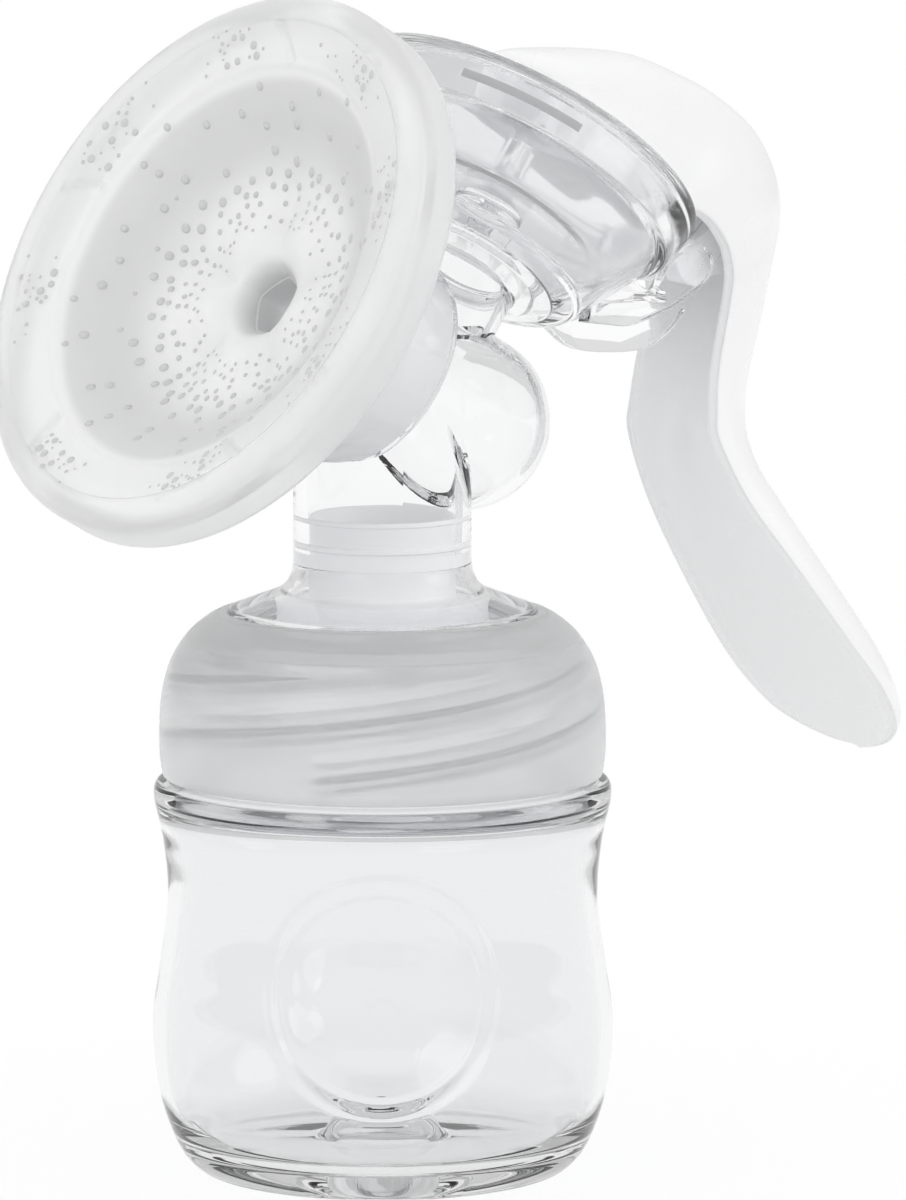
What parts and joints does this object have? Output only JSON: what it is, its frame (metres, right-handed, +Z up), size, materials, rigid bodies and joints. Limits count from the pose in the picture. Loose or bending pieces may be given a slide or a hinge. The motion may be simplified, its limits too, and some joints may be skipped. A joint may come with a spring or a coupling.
{
  "type": "manual breast pump",
  "caption": "Hand-operated breast pump: clear funnel body with soft lobed cushion, tilted diaphragm bowl, lever handle and waisted bottle under a frosted screw ring.",
  "frame": {"origin": "centre of the bottle's flat base, on the surface it stands on", "axes": "+Z up along the bottle's axis, -X towards the funnel's mouth, +X towards the handle, +Y to complete a right-handed frame; XZ is the plane of symmetry"},
  "size_m": [0.1474, 0.079, 0.1627],
  "materials": {
    "bottle_clear": "clear moulded plastic, polished",
    "ring_frosted": "frosted translucent",
    "body_clear": "clear moulded plastic, polished",
    "valve_white": "white silicone, satin",
    "cushion_silicone": "translucent milky silicone, satin",
    "diaphragm_silicone": "clear silicone, glossy",
    "stem_clear": "clear moulded plastic",
    "handle_white": "glossy white"
  },
  "bodies": {
    "bottle": {"bottle": "bottle_clear"},
    "pump": {"pump_body": "body_clear", "valve_body": "valve_white", "diaphragm_rim": "diaphragm_silicone", "diaphragm_membrane": "diaphragm_silicone"},
    "screw_ring": {"screw_ring": "ring_frosted"},
    "handle": {"handle": "handle_white"},
    "stem": {"diaphragm_stem": "stem_clear"},
    "cushion": {"cushion_rim": "cushion_silicone", "cushion_sleeve": "cushion_silicone"},
    "petals": {"cushion_petals": "cushion_silicone"},
    "valve_flap_left": {"valve_lip_left": "valve_white"},
    "valve_flap_right": {"valve_lip_right": "valve_white"}
  },
  "joints": [
    {"name": "body_lift", "type": "slide", "parent": "bottle", "child": "pump", "axis": [0, 0, 1], "range_m": [0, 0.0088]},
    {"name": "ring_turn", "type": "hinge", "parent": "pump", "child": "screw_ring", "pos_m": [0, 0, 0.066], "axis": [0, 0, 1], "range_deg": [0, 150]},
    {"name": "handle_squeeze", "type": "hinge", "parent": "pump", "child": "handle", "pos_m": [0.05336, 0, 0.12343], "axis": [0, 1, 0], "range_deg": [0, 18]},
    {"name": "stem_lift", "type": "slide", "parent": "pump", "child": "stem", "axis": [0.5957, 0, 0.8032], "range_m": [0, 0.0108], "deforming": ["diaphragm_membrane"]},
    {"name": "cushion_pull", "type": "slide", "parent": "pump", "child": "cushion", "axis": [-0.8801, 0, 0.4749], "range_m": [0, 0.04]},
    {"name": "petal_flex", "type": "slide", "parent": "cushion", "child": "petals", "axis": [0.8801, 0, -0.4749], "range_m": [0, 0.0035]},
    {"name": "flap_left_open", "type": "hinge", "parent": "pump", "child": "valve_flap_left", "pos_m": [-0.0076, 0, 0.071], "axis": [0, 1, 0], "range_deg": [0, 8]},
    {"name": "flap_right_open", "type": "hinge", "parent": "pump", "child": "valve_flap_right", "pos_m": [0.0076, 0, 0.071], "axis": [0, 1, 0], "range_deg": [-8, 0]}
  ],
  "couplings": [
    {"joint": "body_lift", "follows": "ring_turn", "m_per_rad": 0.0033423},
    {"joint": "stem_lift", "follows": "handle_squeeze", "m_per_rad": 0.0343},
    {"joint": "petal_flex", "follows": "handle_squeeze", "m_per_rad": 0.011}
  ]
}
